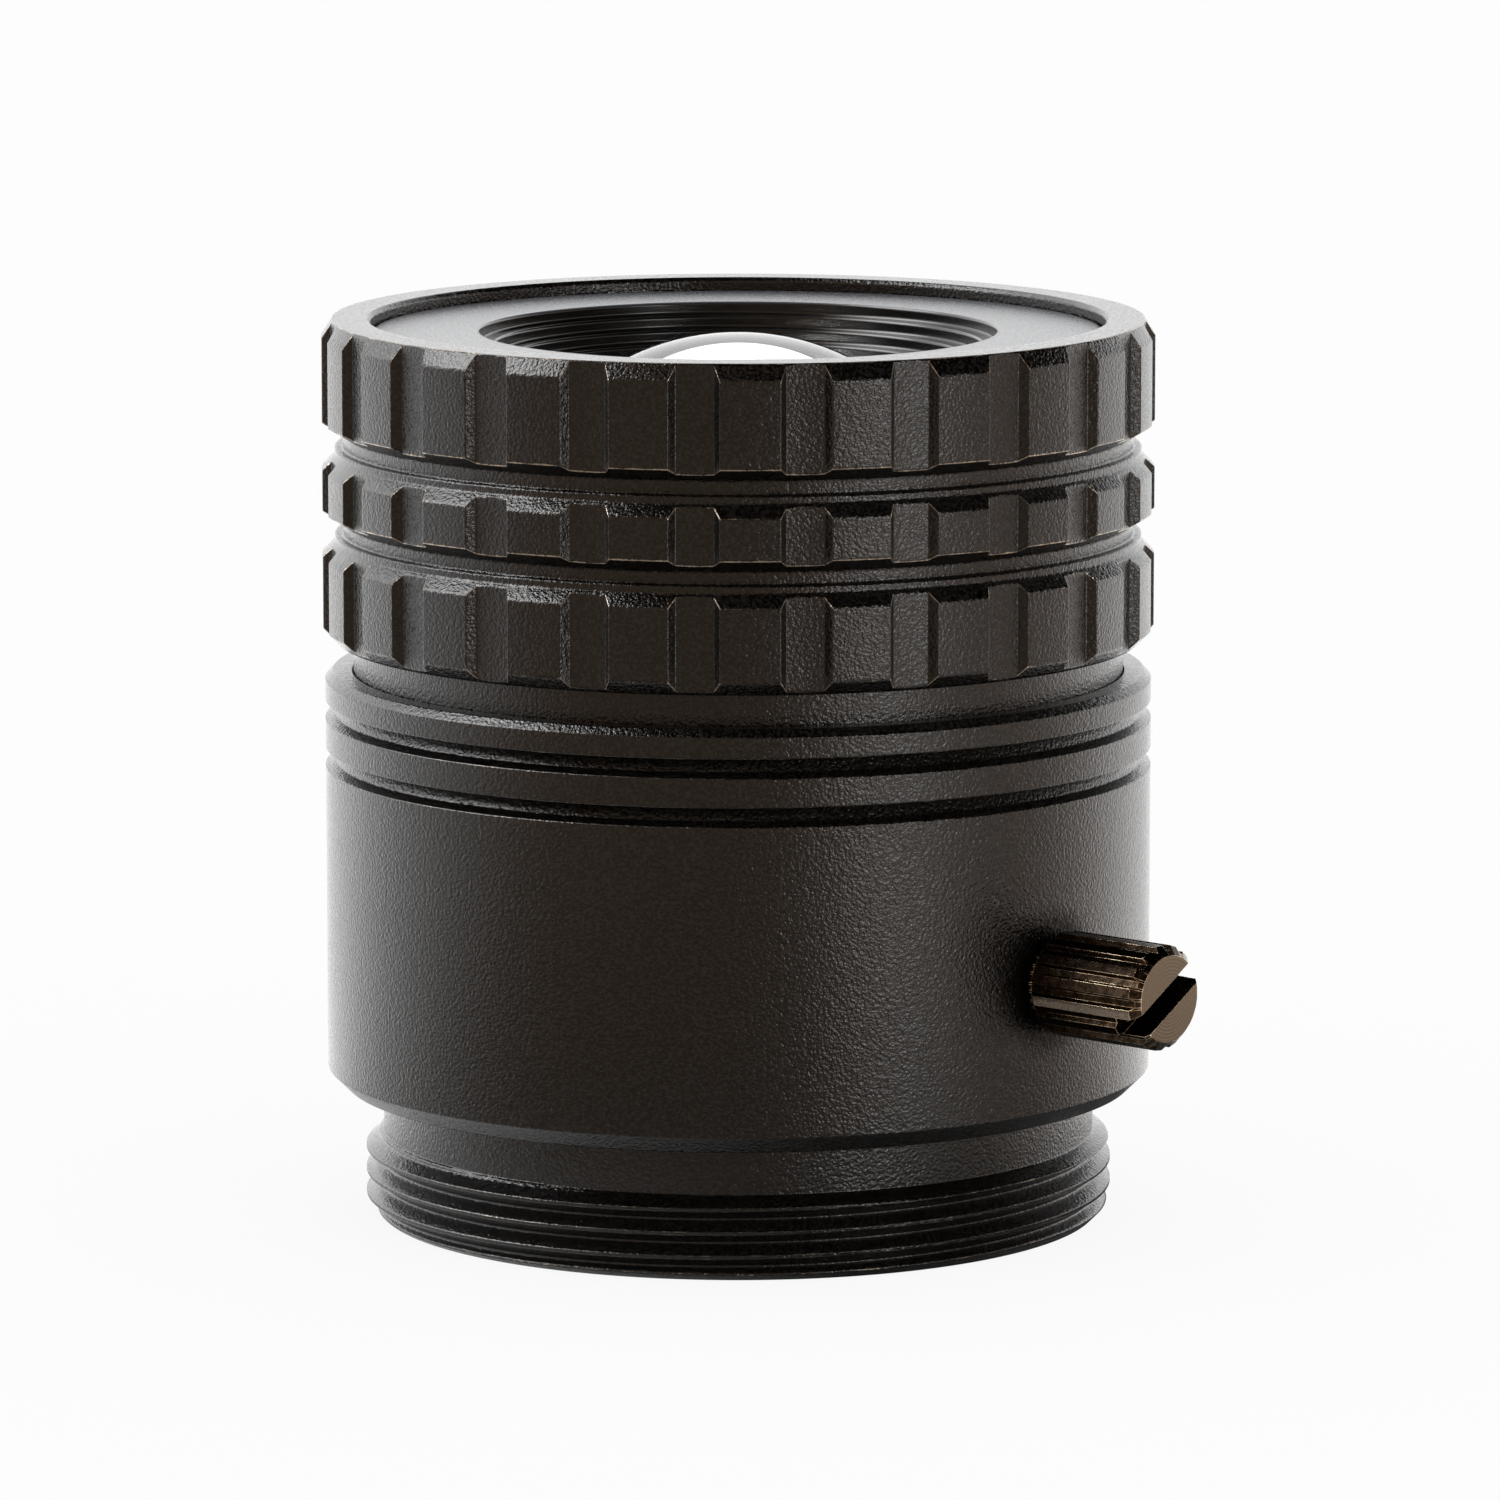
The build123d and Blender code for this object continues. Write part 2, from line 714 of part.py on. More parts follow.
nodes = {
    "mount_housing": mount_housing(),
    "guide_pin_left": guide_pin(guide_pin_angles[1]),
    "guide_pin_right": guide_pin(guide_pin_angles[0]),
    "focus_ring": focus_ring(),
    "slip_washer": slip_washer(),
    "lens_carrier": lens_carrier(),
    "ring_retainer": ring_retainer(),
    "stop_pin": stop_pin(),
    "name_ring": name_ring(),
    "lens_cell": lens_cell(),
    "front_retaining_ring": front_retaining_ring(),
    "front_element": front_element(),
    "front_spacer": front_spacer(front_shoulder, front_spacer_bottom),
    "second_element": front_lens(
        front_spacer_bottom, second_bottom, -second_front_curve_ratio, -second_rear_curve_ratio
    ),
    "middle_spacer": front_spacer(second_bottom, middle_spacer_bottom),
    "third_element": front_lens(
        middle_spacer_bottom, third_bottom, third_front_curve_ratio, third_rear_curve_ratio
    ),
    "stop_spacer": front_spacer(third_bottom, aperture_top),
    "aperture_stop": tube(front_glass_radius, aperture_radius, stop_seat, aperture_top),
    "doublet_front": doublet_front(),
    "doublet_rear": doublet_rear(),
    "rear_spacer": rear_spacer(doublet_bottom, rear_spacer_bottom),
    "sixth_element": rear_lens(
        rear_spacer_bottom, sixth_bottom, sixth_front_curve_ratio, sixth_rear_curve_ratio
    ),
    "rear_thin_spacer": rear_spacer(sixth_bottom, thin_spacer_bottom),
    "rear_element": rear_lens(
        thin_spacer_bottom,
        rear_element_bottom,
        -rear_element_front_curve_ratio,
        rear_element_rear_curve_ratio,
    ),
    "rear_retaining_ring": rear_spacer(rear_element_bottom, rear_ring_bottom),
    "lock_screw": lock_screw(),
    "lock_pad": lock_pad(),
}

os.makedirs("parts", exist_ok=True)
for name, solid in nodes.items():
    export_step(solid, f"parts/{name}.step")
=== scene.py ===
import json
from math import cos, pi, radians, sin, sqrt

import bmesh
import bpy
import numpy as np
from mathutils import Matrix, Vector


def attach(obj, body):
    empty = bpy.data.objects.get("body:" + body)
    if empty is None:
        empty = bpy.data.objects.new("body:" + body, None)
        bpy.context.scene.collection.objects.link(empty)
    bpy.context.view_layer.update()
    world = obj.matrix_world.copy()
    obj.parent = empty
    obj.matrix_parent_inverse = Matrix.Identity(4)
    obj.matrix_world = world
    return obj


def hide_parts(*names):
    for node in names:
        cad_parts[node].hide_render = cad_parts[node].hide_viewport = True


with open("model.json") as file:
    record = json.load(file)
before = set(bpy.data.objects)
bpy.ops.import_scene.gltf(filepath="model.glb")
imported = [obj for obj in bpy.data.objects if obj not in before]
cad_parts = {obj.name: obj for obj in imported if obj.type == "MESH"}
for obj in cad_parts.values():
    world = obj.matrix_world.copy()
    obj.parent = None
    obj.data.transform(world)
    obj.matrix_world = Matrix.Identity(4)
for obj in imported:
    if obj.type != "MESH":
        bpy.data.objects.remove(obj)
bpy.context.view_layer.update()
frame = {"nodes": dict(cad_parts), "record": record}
cad = frame["nodes"]

# Mount housing: turned from aluminium bar, fine blasted and black anodised. Its foot carries a thread of
# one inch by 32, a relief neck and the flange seat; the barrel has two grooves, a drilled hole for the lock
# screw, and a web inside with two blind holes for the guide pins.
pitch = 25.4 / 32
thread_radius = 12.70
thread_start = 0.293
crest_half = 0.05
crest_guard = 0.03
flank_end = 0.30
flank_slope = sqrt(3)
lead_start = 12.25
runout_start = 2.52
runout_slope = 2.0
runout_end = 2.82
relief = 12.10
relief_top = 4.64
seat = 4.52
seat_inner = 12.75
seat_outer = 13.44
barrel = 14.00
barrel_bottom = 5.08
barrel_top = 18.60
rim_chamfer = 0.25
groove_spacing = 1.61
lip_bore = 13.09
lip_floor = 16.59
helicoid_bore = 12.65
helicoid_floor = 11.11
rear_bore = 10.90
web_top = 5.35
web_bottom = 3.40
web_bore = 8.60
wall_bore = 12.45
lock_angle = -42.0
lock_height = 9.51
lock_hole = 1.03
guide_circle = 9.90
guide_angles = (60.0, 240.0)
guide_hole = 0.61
guide_hole_bottom = 3.90
window_angle = 5.0
window_height = 1.22
window_reach = 0.86
window_cells = 10
edge_guard = 0.04
most_of_side = 0.3


def edged(corners, guard=edge_guard):
    """The rows of a closed half section from its corners: corners by columns by radius and height.

    Each corner gets a row close by on either side, which keeps the flats flat and rolls the edge over. Where
    a side is short, the extra row stands at three tenths of it.
    """
    corners = np.asarray(corners, float)

    def towards(neighbour):
        way = neighbour - corners
        length = np.linalg.norm(way, axis=-1, keepdims=True)
        return corners + way * np.minimum(guard / np.maximum(length, 1e-9), most_of_side)

    rows = [towards(np.roll(corners, 1, axis=0)), corners, towards(np.roll(corners, -1, axis=0))]
    return np.stack(rows, axis=1).reshape(-1, *corners.shape[1:])


def turned(rows, angles):
    """Points round Z: x is the radius times the angle's cosine, y times its sine, and z the height."""
    radius, height = np.broadcast_arrays(rows[..., 0], rows[..., 1])
    radius, height, angles = np.broadcast_arrays(radius, height, np.asarray(angles, float))
    return np.stack([radius * np.cos(angles), radius * np.sin(angles), height], axis=-1)


def joined_mesh(name, grids):
    """A closed mesh from pairs of a grid of points in millimetres and the cells of it that are kept.

    Neighbouring rows and columns span four-sided faces. Grids that share an edge have the same points there,
    and points that coincide to within same_point metres are merged.
    """
    points = []
    faces = []
    count = 0
    same_point = 3e-7
    for grid, kept in grids:
        rows, columns = grid.shape[:2]
        index = count + np.arange(rows * columns).reshape(rows, columns)
        cells = np.stack([index[:-1, :-1], index[:-1, 1:], index[1:, 1:], index[1:, :-1]], axis=-1)
        points.append(grid.reshape(-1, 3) * 0.001)
        faces.append(cells.reshape(-1, 4) if kept is None else cells[kept])
        count += rows * columns
    mesh = bpy.data.meshes.new(name)
    mesh.from_pydata(np.concatenate(points), [], np.concatenate(faces).tolist())
    work = bmesh.new()
    work.from_mesh(mesh)
    bmesh.ops.remove_doubles(work, verts=work.verts, dist=same_point)
    bmesh.ops.recalc_face_normals(work, faces=work.faces)
    work.to_mesh(mesh)
    work.free()
    return mesh


def read(items, name, width=1, kind=np.float32):
    """What each point, corner, edge or face of a mesh holds under this name, a row of numbers for each."""
    values = np.empty(len(items) * width, kind)
    items.foreach_get(name, values)
    return values.reshape(-1, width) if width > 1 else values


def placed(mesh, body, slot, material, *replaced, upright_wear=1.0):
    """Shades the mesh smooth, notes how sharp each point's edge is, and hangs the piece on its body.

    The note is one less the least cosine between a point's normal and those of its faces, times sharp_gain
    and at most one, and it is negative in a hollow corner. An edge that runs up and down counts upright_wear
    times: there the faces' normals differ little in height.
    """
    sharp_gain = 8
    level_gain = 3
    count = len(mesh.vertices)
    mesh.polygons.foreach_set("use_smooth", np.ones(len(mesh.polygons), bool))
    place = read(mesh.vertices, "co", 3).astype(float)
    normal = read(mesh.vertex_normals, "vector", 3).astype(float)
    sides = read(mesh.polygons, "loop_total", kind=np.int32)
    corner = read(mesh.loops, "vertex_index", kind=np.int32)
    flat = np.repeat(read(mesh.polygon_normals, "vector", 3).astype(float), sides, axis=0)
    least = np.ones(count)
    np.minimum.at(least, corner, np.einsum("ij,ij->i", flat, normal[corner]))
    first, second = read(mesh.edges, "vertices", 2, np.int32).T
    way = place[second] - place[first]
    way /= np.maximum(np.linalg.norm(way, axis=1, keepdims=True), 1e-12)
    rise = np.zeros(count)
    np.add.at(rise, first, np.einsum("ij,ij->i", way, normal[first]))
    np.add.at(rise, second, -np.einsum("ij,ij->i", way, normal[second]))
    lowest = np.ones(count)
    highest = -np.ones(count)
    np.minimum.at(lowest, corner, flat[:, 2])
    np.maximum.at(highest, corner, flat[:, 2])
    level_edge = upright_wear + (1 - upright_wear) * np.clip((highest - lowest) * level_gain, 0, 1)
    sharp = np.clip((1 - least) * sharp_gain, 0, 1) * np.where(rise > 0, -1, 1) * level_edge
    mesh.attributes.new("edge", "FLOAT", "POINT").data.foreach_set("value", sharp.astype(np.float32))
    mesh.materials.append(material)
    made = bpy.data.objects.new(mesh.name, mesh)
    bpy.context.scene.collection.objects.link(made)
    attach(made, body)
    if replaced:
        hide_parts(*replaced)
    return made


class Wire:
    """A number or a colour on its way through a material. Arithmetic on it adds Math nodes."""

    def __init__(self, finish, socket):
        self.finish = finish
        self.socket = socket

    def __add__(self, other):
        return self.finish.math("ADD", self, other)

    def __sub__(self, other):
        return self.finish.math("SUBTRACT", self, other)

    def __rsub__(self, other):
        return self.finish.math("SUBTRACT", other, self)

    def __mul__(self, other):
        return self.finish.math("MULTIPLY", self, other)

    __radd__ = __add__
    __rmul__ = __mul__

    def beside(self, name):
        """Another output of the same node."""
        return Wire(self.finish, self.socket.node.outputs[name])


class Finish:
    """The nodes of a material or of the world."""

    def __init__(self, holder):
        holder.use_nodes = True
        self.holder = holder
        self.tree = holder.node_tree
        self.tree.nodes.clear()

    def node(self, kind, settings=None, inputs=None, output=0):
        """A node with its settings, then its sockets by number or name, and one of its outputs."""
        made = self.tree.nodes.new(kind)
        for name, value in (settings or {}).items():
            if name == "stops":
                ramp = made.color_ramp.elements
                while len(ramp) < len(value):
                    ramp.new(1.0)
                for stop, (position, colour) in zip(ramp, value):
                    stop.position = position
                    stop.color = colour
            else:
                setattr(made, name, value)
        pairs = inputs.items() if isinstance(inputs, dict) else enumerate(inputs or [])
        for name, value in pairs:
            if isinstance(value, Wire):
                self.tree.links.new(value.socket, made.inputs[name])
            else:
                made.inputs[name].default_value = value
        return Wire(self, made.outputs[output]) if made.outputs else None

    def math(self, operation, *values):
        """One Math node."""
        return self.node("ShaderNodeMath", {"operation": operation}, values)

    def vectors(self, operation, *values):
        """One Vector Math node. A length and a dot product come out as a number."""
        output = "Value" if operation in ("LENGTH", "DOT_PRODUCT") else "Vector"
        return self.node("ShaderNodeVectorMath", {"operation": operation}, values, output)

    def place(self):
        """The point's own place on the lens, in metres."""
        return self.node("ShaderNodeTexCoord", output="Object")

    def about(self, point, axis):
        """The way here from a point on an axis, how far that is along the axis, and how far off it."""
        way = self.vectors("SUBTRACT", self.place(), point)
        along = self.vectors("DOT_PRODUCT", way, axis)
        return way, along, self.vectors("LENGTH", self.vectors("CROSS_PRODUCT", way, axis))

    def grain(self, place, per_metre, detail=2.0, roughness=0.5):
        """Cloudy noise from 0 to 1, with per_metre clouds to the metre."""
        sockets = {"Vector": place, "Scale": per_metre, "Detail": detail, "Roughness": roughness}
        return self.node("ShaderNodeTexNoise", None, sockets)

    def fade(self, value, low, high, start=0.0, end=1.0):
        """start below low, end above high, and a straight run between."""
        sockets = {"Value": value, "From Min": low, "From Max": high, "To Min": start, "To Max": end}
        return self.node("ShaderNodeMapRange", {"clamp": True}, sockets)

    def blend(self, share, first, second):
        """The first colour where share is 0 and the second where it is 1."""
        sockets = {0: share, 6: first, 7: second}
        return self.node("ShaderNodeMix", {"data_type": "RGBA"}, sockets, output=2)

    def stretched(self, place, scale):
        """The place with each axis times its own factor: a pattern is drawn out along the small ones."""
        return self.vectors("MULTIPLY", place, scale)

    def edge(self):
        """How sharp the edge is here: 1 on an outside edge, 0 on a flat and below 0 in a hollow corner."""
        return self.node("ShaderNodeAttribute", {"attribute_name": "edge"}, output="Fac")

    def relief(self, height, depth):
        """The normal of a surface with this height, from 0 to 1, and this depth in metres."""
        return self.node("ShaderNodeBump", None, {"Strength": 1.0, "Distance": depth, "Height": height})

    def surface(self, sockets, cover=None):
        """The material's shader and its output. A cover is a share and the shader that takes that share."""
        shader = self.node("ShaderNodeBsdfPrincipled", None, sockets)
        if cover:
            share, top = cover
            shader = self.node("ShaderNodeMixShader", None, [share, shader, top])
        self.node("ShaderNodeOutputMaterial", None, {"Surface": shader})
        return self.holder


def anodised(name, base, smudge, roughness, dimple, worn_from, turning=0.0, speck=0.0, worn_beyond=0.0):
    """Black anodised aluminium: dimpled grain, slow smudges, and bare metal where the edges are worn.

    The grain is noise with clouds of about a tenth of a millimetre, and the turning marks are noise drawn out
    across the axis. An edge is bare where its sharpness plus two patchy noises passes worn_from, and only
    further from the axis than worn_beyond. The tops of the grain are paler by the share speck. Returned are
    the finish and the sockets of its shader.
    """
    bare_metal = (0.46, 0.37, 0.28, 1)
    pale_grain = (1.0, 0.86, 0.74, 1)
    wear_run = 0.30
    wear_edge = 0.00003
    rough_spread = 0.06
    finish = Finish(bpy.data.materials.new(name))
    place = finish.place()
    grain = finish.grain(place, 8800, 1.5, 0.60)
    fine = finish.grain(place, 17000, 1.0)
    slow = finish.grain(place, 240, 4.0, 0.6)
    marks = finish.grain(finish.stretched(place, (0.02, 0.02, 1.0)), 14000, 3.0, 0.7)
    patchy = finish.grain(place, 1500, 3.0, 0.6) * 1.1 + finish.grain(place, 11000, 2.0, 0.6) * 0.9
    bare = finish.fade(finish.edge() + patchy, worn_from, worn_from + wear_run)
    if worn_beyond:
        from_axis = finish.vectors("LENGTH", finish.vectors("MULTIPLY", place, (1, 1, 0)))
        bare = bare * finish.fade(from_axis, worn_beyond, worn_beyond + wear_edge)
    colour = finish.blend(finish.fade(slow, 0.35, 0.65), base, smudge)
    colour = finish.blend(finish.fade(grain, 0.44, 0.62) * speck, colour, pale_grain)
    sockets = {
        "Base Color": finish.blend(bare, colour, bare_metal),
        "Roughness": finish.fade(fine, 0.3, 0.7, roughness - rough_spread, roughness + rough_spread),
        "Metallic": bare * 0.85,
        "Normal": finish.relief(grain + marks * turning, dimple),
    }
    return finish, sockets


def painted_screw_shade(finish, point, axis):
    """Painted shade round a hole, given by a point and its axis: a cover of dull black with a ragged rim,
    which stands in for the shadow and dark reflection of the lock screw's head on the body.
    """
    shade_black = (0.0015, 0.001, 0.0008, 1)
    darkest_within = 0.0014
    gone_beyond = 0.0027
    ragged = 0.0014
    _, along, off = finish.about(point, axis)
    reach = off + finish.grain(finish.place(), 5000, 3.0, 0.7) * ragged - ragged / 2
    near_mouth = finish.fade(along, -0.004, -0.003)
    share = finish.fade(reach, darkest_within, gone_beyond, 0.97, 0.0) * near_mouth
    return share, finish.node("ShaderNodeBsdfDiffuse", None, {"Color": shade_black})


lock_side = (cos(radians(lock_angle)), sin(radians(lock_angle)), 0)
lock_mouth = (barrel * lock_side[0] * 0.001, barrel * lock_side[1] * 0.001, lock_height * 0.001)
finish, sockets = anodised(
    "housing_black",
    (0.0008, 0.0006, 0.0005, 1),
    (0.0016, 0.0011, 0.0008, 1),
    roughness=0.19,
    dimple=3.6e-5,
    worn_from=1.98,
    speck=0.008,
)
# Round the lock screw's hole the body gets painted shade, for the screw head's shadow and dark reflection
housing_black = finish.surface(sockets, painted_screw_shade(finish, lock_mouth, lock_side))

columns = np.radians(np.arange(361.0) + lock_angle - 180.0)
turn = np.linspace(0, 1, 361) - thread_start

# Thread rows follow the helix: each stays at one place across the groove while it climbs a pitch a turn
crest = np.array([-crest_half, -crest_guard, crest_guard, crest_half])
flank = np.array([0.08, 0.14, 0.20, 0.26, flank_end, 0.345])
across = np.concatenate([crest, flank, [pitch / 2], pitch - flank[::-1]])
helix = (np.arange(-1, 4)[:, None] * pitch + across).reshape(-1, 1)
thread_height = np.clip(helix + pitch * turn, 0, runout_end)
thread_height = np.concatenate([0 * turn[None], thread_height, 0 * turn[None] + runout_end])
from_crest = np.abs((thread_height / pitch - turn + 0.5) % 1 - 0.5) * pitch
root_half = pitch / 2 - flank_end
into_root = np.clip(from_crest - flank_end, 0, root_half)
depth = np.clip(from_crest - crest_half, 0, flank_end - crest_half) * flank_slope
depth += flank_slope * (into_root - into_root**2 / (2 * root_half))
thread = np.minimum(thread_radius - depth, lead_start + thread_height)
thread = np.minimum(thread, thread_radius - runout_slope * (thread_height - runout_start))
thread_rows = np.stack([thread, thread_height], axis=-1)

# The other corners of the half section, each a radius and a height, from the foot up and back down inside
window = np.linspace(-1, 1, window_cells + 1)
foot = [(relief, runout_end), (relief, relief_top), (seat_inner, relief_top), (seat_inner, seat)]
foot += [(seat_outer, seat), (barrel, barrel_bottom)]
outer_window = [(barrel, height) for height in lock_height + window_height * window]
groove = [(barrel, 15.39), (13.62, 15.54), (13.36, 16.02), (barrel, 16.04)]
grooves = groove + [(radius, height + groove_spacing) for radius, height in groove]
lip = [(barrel, barrel_top - rim_chamfer), (barrel - rim_chamfer, barrel_top), (lip_bore, barrel_top)]
lip += [(lip_bore, lip_floor), (helicoid_bore, lip_floor), (helicoid_bore, helicoid_floor)]
bore = [(wall_bore, helicoid_floor)]
inner_window = [(wall_bore, height) for height in lock_height - window_height * window]
web = [(wall_bore, web_top)]
web_window = [(guide_circle - window_reach * share, web_top) for share in window]
rear = [(web_bore, web_top), (web_bore, web_bottom), (rear_bore, web_bottom), (rear_bore, 0)]
rear_face = [(lead_start - 0.1, 0)]


def with_windows(parts):
    """Rows of the section from runs of corners; a window's run keeps single rows."""
    corners = np.array([corner for run, _ in parts for corner in run])
    rows = edged(corners[:, None, :])
    keep = [np.tile([not single, True, not single], len(run)) for run, single in parts]
    return rows[np.concatenate(keep)]


section = with_windows(
    [
        (foot, False),
        (outer_window, True),
        (grooves, False),
        (lip, False),
        (bore, False),
        (inner_window, True),
        (web, False),
        (web_window, True),
        (rear, False),
        (rear_face, False),
    ]
)

# The thread's own rows stand for the first corner, and the rim of the rear face closes the loop
section = section[2:-2]
section = np.broadcast_to(section, (len(section), len(columns), 2))
rim = thread_rows[:1] * [1, 0]
housing_rows = np.concatenate([thread_rows, section, rim - [edge_guard, 0], rim])
middle = (housing_rows[:-1, :-1] + housing_rows[1:, 1:]) / 2
middle_angle = np.degrees(columns[:-1] + columns[1:]) / 2


def within(angle, reach):
    """Whether each column's middle is nearer to the angle than reach, in degrees."""
    return np.abs((middle_angle - angle + 180) % 360 - 180) < reach


kept = np.ones(middle.shape[:2], bool)
on_wall = (np.abs(middle[..., 1] - lock_height) < window_height) & (middle[..., 0] > wall_bore - 0.01)
kept &= ~(on_wall & within(lock_angle, window_angle))
on_web = (np.abs(middle[..., 0] - guide_circle) < window_reach) & (np.abs(middle[..., 1] - web_top) < 0.001)
for angle in guide_angles:
    kept &= ~(on_web & within(angle, window_angle))

# Round a hole: the edge of a square of cells, and the circle inside it, point for point
round_hole = np.linspace(0, 8, 4 * window_cells + 1)
square_level = np.clip(np.abs(round_hole % 8 - 4) - 2, -1, 1)
square_up = np.clip(np.abs((round_hole - 2) % 8 - 4) - 2, -1, 1)
circle_level = np.cos(round_hole * pi / 4)
circle_up = np.sin(round_hole * pi / 4)


def on_cylinder(radius, height, angle):
    """Points of a cylinder of this radius at these heights and angles."""
    return turned(np.stack([radius + 0 * height, height], axis=-1), angle)


def wall_square(radius):
    """The edge of the window in the wall at this radius."""
    angle = radians(lock_angle) + radians(window_angle) * square_level
    return on_cylinder(radius, lock_height + window_height * square_up, angle)


def wall_circle(radius, hole):
    """A circle round the lock screw's axis, drawn on the wall at this radius."""
    angle = radians(lock_angle) + np.arcsin(hole * circle_level / radius)
    return on_cylinder(radius, lock_height + hole * circle_up, angle)


lock_bore = np.stack(
    [
        wall_square(barrel),
        wall_circle(barrel, lock_hole + edge_guard),
        wall_circle(barrel, lock_hole),
        wall_circle(barrel - edge_guard, lock_hole),
        wall_circle(wall_bore + edge_guard, lock_hole),
        wall_circle(wall_bore, lock_hole),
        wall_square(wall_bore),
    ]
)


def guide_bore(angle):
    """A blind round hole in the web, from the window's edge down to the middle of its floor."""
    angle = radians(angle)
    reach = guide_circle + window_reach * square_up
    aside = angle + radians(window_angle) * square_level
    square = turned(np.stack([reach, web_top + 0 * reach], axis=-1), aside)
    out = np.array([cos(angle), sin(angle), 0])
    level = np.array([-sin(angle), cos(angle), 0])
    disc = circle_level[:, None] * level + circle_up[:, None] * out

    def ring(radius, height):
        return out * guide_circle + disc * radius + [0, 0, height]

    rings = [(guide_hole + edge_guard, web_top), (guide_hole, web_top), (guide_hole, web_top - edge_guard)]
    rings += [(guide_hole, guide_hole_bottom), (0, guide_hole_bottom)]
    return np.stack([square] + [ring(*size) for size in rings])


housing = joined_mesh(
    "housing_shell",
    [
        (turned(housing_rows, columns), kept),
        (lock_bore, None),
        (guide_bore(guide_angles[0]), None),
        (guide_bore(guide_angles[1]), None),
    ],
)
placed(housing, "housing", "housing_black", housing_black, "mount_housing")

# Focus ring: turned from aluminium bar and milled, blasted and black anodised. Three bands of 24 facets are
# cut through by flutes, with turned grooves between them; below are a neck, the helicoid and the skirt that
# the lock screw grips, with a notch in its end for the stop pin.
tooth_count = 24
tooth_step = 15.0
tooth_phase = -88.3
land_radius = 14.07
land_half = 4.03
flute_half_start = 4.88
flute_radius = 13.76
flute_dip = 0.03
band_heights = ((20.14, 22.59), (24.13, 25.53), (27.11, 29.99))
lower_slopes = (1.0, 0.42 / 0.72, 0.42 / 0.72)
upper_slopes = (1.0, 1.0, 0.56 / 0.35)
band_groove = 13.35
groove_drop = 0.42
bevel_radius = 13.63
bevel_rise = 0.44
bevel_top = 0.68
notch_start = 89.68
notch_end = 229.32
notch_top = 8.75
notch_side = 1e-7
skirt_bottom = 7.80
skirt_radius = 12.35
helicoid_radius = 12.60
helicoid_bottom = 12.26
helicoid_top = 17.74
neck_radius = 13.04
neck_top = 19.69
under_radius = 13.62
ring_top = 30.55
ring_top_radius = 13.72
mouth_bore = 12.40
mouth_chamfer = 0.12
mouth_floor = 20.00
ring_bore = 11.55
ring_guard = 0.085


def tooth_outline(angle):
    """The knurling's radius at an angle in degrees: land, straight flute wall and hollow flute floor."""
    offset = np.abs((angle - tooth_phase + tooth_step / 2) % tooth_step - tooth_step / 2)
    radius = np.interp(offset, [0, land_half, flute_half_start], [land_radius, land_radius, flute_radius])
    in_flute = np.clip((tooth_step / 2 - offset) / (tooth_step / 2 - flute_half_start), 0, 1)
    return np.where(offset > flute_half_start, radius - flute_dip * (1 - in_flute**2), radius)


land_part = [0, 2.1, 3.6, 3.92, land_half]
flank_part = [4.13, 4.77, flute_half_start]
floor_part = [5.00, 5.6, 6.3, 7.0, tooth_step / 2]
half_tooth = np.array(land_part + flank_part + floor_part)
one_tooth = np.concatenate([-half_tooth[:0:-1], half_tooth])[1:]
ring_angles = (tooth_phase + tooth_step * np.arange(tooth_count)[:, None] + one_tooth).ravel()
in_notch = (ring_angles % 360 > notch_start) & (ring_angles % 360 < notch_end)
notch_sides = [notch_start, notch_start + notch_side, notch_end, notch_end + notch_side]
ring_angles = np.concatenate([ring_angles, notch_sides])
in_notch = np.concatenate([in_notch, [False, True, True, False]])
order = np.argsort(ring_angles)
order = np.append(order, order[0])
in_notch = in_notch[order]
ring_angles = ring_angles[order]
ring_angles[-1] += 360
outline = tooth_outline(ring_angles)
skirt_end = np.where(in_notch, notch_top, skirt_bottom)
short = land_radius - outline


def level_corner(radius, height):
    """A corner of the section that may differ from column to column."""
    return np.stack([radius + 0 * outline, height + 0 * outline], axis=-1)


ring_corners = [
    level_corner(skirt_radius, skirt_end),
    level_corner(skirt_radius, notch_top),
    level_corner(skirt_radius, helicoid_bottom),
    level_corner(helicoid_radius, helicoid_bottom),
    level_corner(helicoid_radius, helicoid_top),
    level_corner(neck_radius, helicoid_top),
    level_corner(neck_radius, neck_top),
    level_corner(under_radius, neck_top),
]
for band, (land_bottom, land_top) in enumerate(band_heights):
    if band > 0:
        ring_corners.append(level_corner(band_groove, land_bottom - groove_drop))
    ring_corners.append(level_corner(outline, land_bottom - short * lower_slopes[band]))
    ring_corners.append(level_corner(outline, land_top + short * upper_slopes[band]))
    if band < 2:
        ring_corners.append(level_corner(bevel_radius, land_top + bevel_rise))
        ring_corners.append(level_corner(bevel_radius, land_top + bevel_top))
        ring_corners.append(level_corner(band_groove, land_top + bevel_top))
ring_corners += [
    level_corner(ring_top_radius, ring_top),
    level_corner(mouth_bore + mouth_chamfer, ring_top),
    level_corner(mouth_bore, ring_top - mouth_chamfer),
    level_corner(mouth_bore, mouth_floor),
    level_corner(ring_bore, mouth_floor),
    level_corner(ring_bore, notch_top),
    level_corner(ring_bore, skirt_end),
]
ring_rows = edged(np.stack(ring_corners), ring_guard)
ring_rows = np.concatenate([ring_rows, ring_rows[:1]])
finish, sockets = anodised(
    "ring_black",
    (0.0008, 0.0006, 0.0005, 1),
    (0.0016, 0.0011, 0.0008, 1),
    roughness=0.19,
    dimple=3.6e-5,
    worn_from=1.68,
    speck=0.008,
    worn_beyond=0.01368,
)
ring_black = finish.surface(sockets)
ring = joined_mesh("focus_ring_knurled", [(turned(ring_rows, np.radians(ring_angles)), None)])
placed(ring, "focus_ring", "ring_black", ring_black, "focus_ring", upright_wear=0.5)

